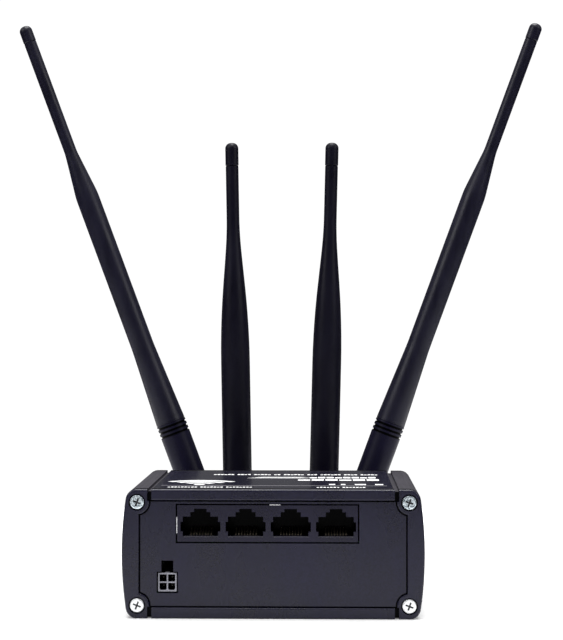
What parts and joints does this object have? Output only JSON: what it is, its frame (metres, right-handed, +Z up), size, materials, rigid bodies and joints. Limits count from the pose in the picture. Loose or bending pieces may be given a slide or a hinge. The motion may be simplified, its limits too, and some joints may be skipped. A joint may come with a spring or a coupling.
{
  "type": "wireless router",
  "caption": "Mobile-network router in a flat extruded case: network ports and a latching power inlet in front, tilting and folding rod antennas behind.",
  "frame": {"origin": "middle of the case's flat underside", "axes": "+Z up, +X to the right seen from the face with the ports, +Y from that face towards the antennas"},
  "size_m": [0.2141, 0.1101, 0.2262],
  "materials": {
    "case_metal": "fine matte grey-black anodised coating on extruded aluminium",
    "panel_plastic": "fine spark-eroded texture, black-grey",
    "label_film": "satin black printed film",
    "screw_zinc": "bright zinc plate",
    "jack_plastic": "semi-gloss moulded nylon",
    "contact_gold": "gold flash over bronze",
    "tinned_sheet": "tinned sheet",
    "socket_plastic": "moulded nylon",
    "clear_plastic": "clear polycarbonate",
    "light_body": "clear resin on white",
    "switch_body": "moulded",
    "button_plastic": "moulded",
    "circuit_board": "solder resist over glass laminate",
    "chip_resin": "moulded resin",
    "ferrite": "pressed ferrite",
    "capacitor_can": "drawn can",
    "connector_brass": "gold-plated turned brass",
    "coupling_metal": "gold-plated fluted brass",
    "lead_jacket": "thin coaxial jacket",
    "knuckle_plastic": "moulded, satin black",
    "antenna_rubber": "satin black elastomer",
    "pin_steel": "bright",
    "radiator_brass": "plain"
  },
  "bodies": {
    "casing": {"housing": "case_metal", "top_label": "label_film", "front_panel": "panel_plastic", "back_panel": "panel_plastic", "front_screws": "screw_zinc", "back_screws": "screw_zinc", "jack_housing": "jack_plastic", "jack_contacts": "contact_gold", "jack_shield": "tinned_sheet", "power_socket": "socket_plastic", "power_pins": "contact_gold", "status_light_pipes": "clear_plastic", "status_lights": "light_body", "reset_switch": "switch_body", "main_board": "circuit_board", "port_board": "circuit_board", "board_link": "chip_resin", "network_transformers": "chip_resin", "processor": "tinned_sheet", "memory_chips": "chip_resin", "power_choke": "ferrite", "power_capacitors": "capacitor_can", "modem_socket": "socket_plastic", "modem_card": "circuit_board", "modem_shield": "tinned_sheet", "sim_holder": "tinned_sheet", "antenna_jacks": "connector_brass", "jack_washers": "connector_brass", "jack_nuts": "connector_brass", "coupling_nuts": "coupling_metal", "antenna_leads": "lead_jacket"},
    "reset_button": {"reset_plunger": "button_plastic"},
    "long_left_swivel_part": {"long_left_stem": "connector_brass", "long_left_swivel_base": "knuckle_plastic"},
    "long_left_whip": {"long_left_hinge_pin": "pin_steel", "long_left_whip_foot": "knuckle_plastic", "long_left_sheath": "antenna_rubber", "long_left_tip_cap": "antenna_rubber", "long_left_radiator": "radiator_brass"},
    "short_left_swivel_part": {"short_left_stem": "connector_brass", "short_left_swivel_base": "knuckle_plastic"},
    "short_left_whip": {"short_left_hinge_pin": "pin_steel", "short_left_whip_foot": "knuckle_plastic", "short_left_sheath": "antenna_rubber", "short_left_tip_cap": "antenna_rubber", "short_left_radiator": "radiator_brass"},
    "short_right_swivel_part": {"short_right_stem": "connector_brass", "short_right_swivel_base": "knuckle_plastic"},
    "short_right_whip": {"short_right_hinge_pin": "pin_steel", "short_right_whip_foot": "knuckle_plastic", "short_right_sheath": "antenna_rubber", "short_right_tip_cap": "antenna_rubber", "short_right_radiator": "radiator_brass"},
    "long_right_swivel_part": {"long_right_stem": "connector_brass", "long_right_swivel_base": "knuckle_plastic"},
    "long_right_whip": {"long_right_hinge_pin": "pin_steel", "long_right_whip_foot": "knuckle_plastic", "long_right_sheath": "antenna_rubber", "long_right_tip_cap": "antenna_rubber", "long_right_radiator": "radiator_brass"}
  },
  "joints": [
    {"name": "long_left_swivel", "type": "hinge", "parent": "casing", "child": "long_left_swivel_part", "pos_m": [-0.0317, 0.064, 0.027], "axis": [0, 1, 0], "range_deg": [-69.6, 20.4]},
    {"name": "long_left_fold", "type": "hinge", "parent": "long_left_swivel_part", "child": "long_left_whip", "pos_m": [-0.0317, 0.064, 0.027], "axis": [-0.9373, 0, -0.3486], "range_deg": [0, 90]},
    {"name": "short_left_swivel", "type": "hinge", "parent": "casing", "child": "short_left_swivel_part", "pos_m": [-0.01745, 0.064, 0.027], "axis": [0, 1, 0], "range_deg": [-15, 10]},
    {"name": "short_left_fold", "type": "hinge", "parent": "short_left_swivel_part", "child": "short_left_whip", "pos_m": [-0.01745, 0.064, 0.027], "axis": [-0.9998, 0, -0.0175], "range_deg": [0, 90]},
    {"name": "short_right_swivel", "type": "hinge", "parent": "casing", "child": "short_right_swivel_part", "pos_m": [0.01745, 0.064, 0.027], "axis": [0, 1, 0], "range_deg": [-10, 15]},
    {"name": "short_right_fold", "type": "hinge", "parent": "short_right_swivel_part", "child": "short_right_whip", "pos_m": [0.01745, 0.064, 0.027], "axis": [-0.9997, 0, 0.0244], "range_deg": [0, 90]},
    {"name": "long_right_swivel", "type": "hinge", "parent": "casing", "child": "long_right_swivel_part", "pos_m": [0.0317, 0.064, 0.027], "axis": [0, 1, 0], "range_deg": [-20.2, 69.8]},
    {"name": "long_right_fold", "type": "hinge", "parent": "long_right_swivel_part", "child": "long_right_whip", "pos_m": [0.0317, 0.064, 0.027], "axis": [-0.9385, 0, 0.3453], "range_deg": [0, 90]},
    {"name": "reset_press", "type": "slide", "parent": "casing", "child": "reset_button", "axis": [0, -1, 0], "range_m": [0, 0.0005], "stiffness_N_per_m": 1500, "springref_m": -0.0003}
  ]
}
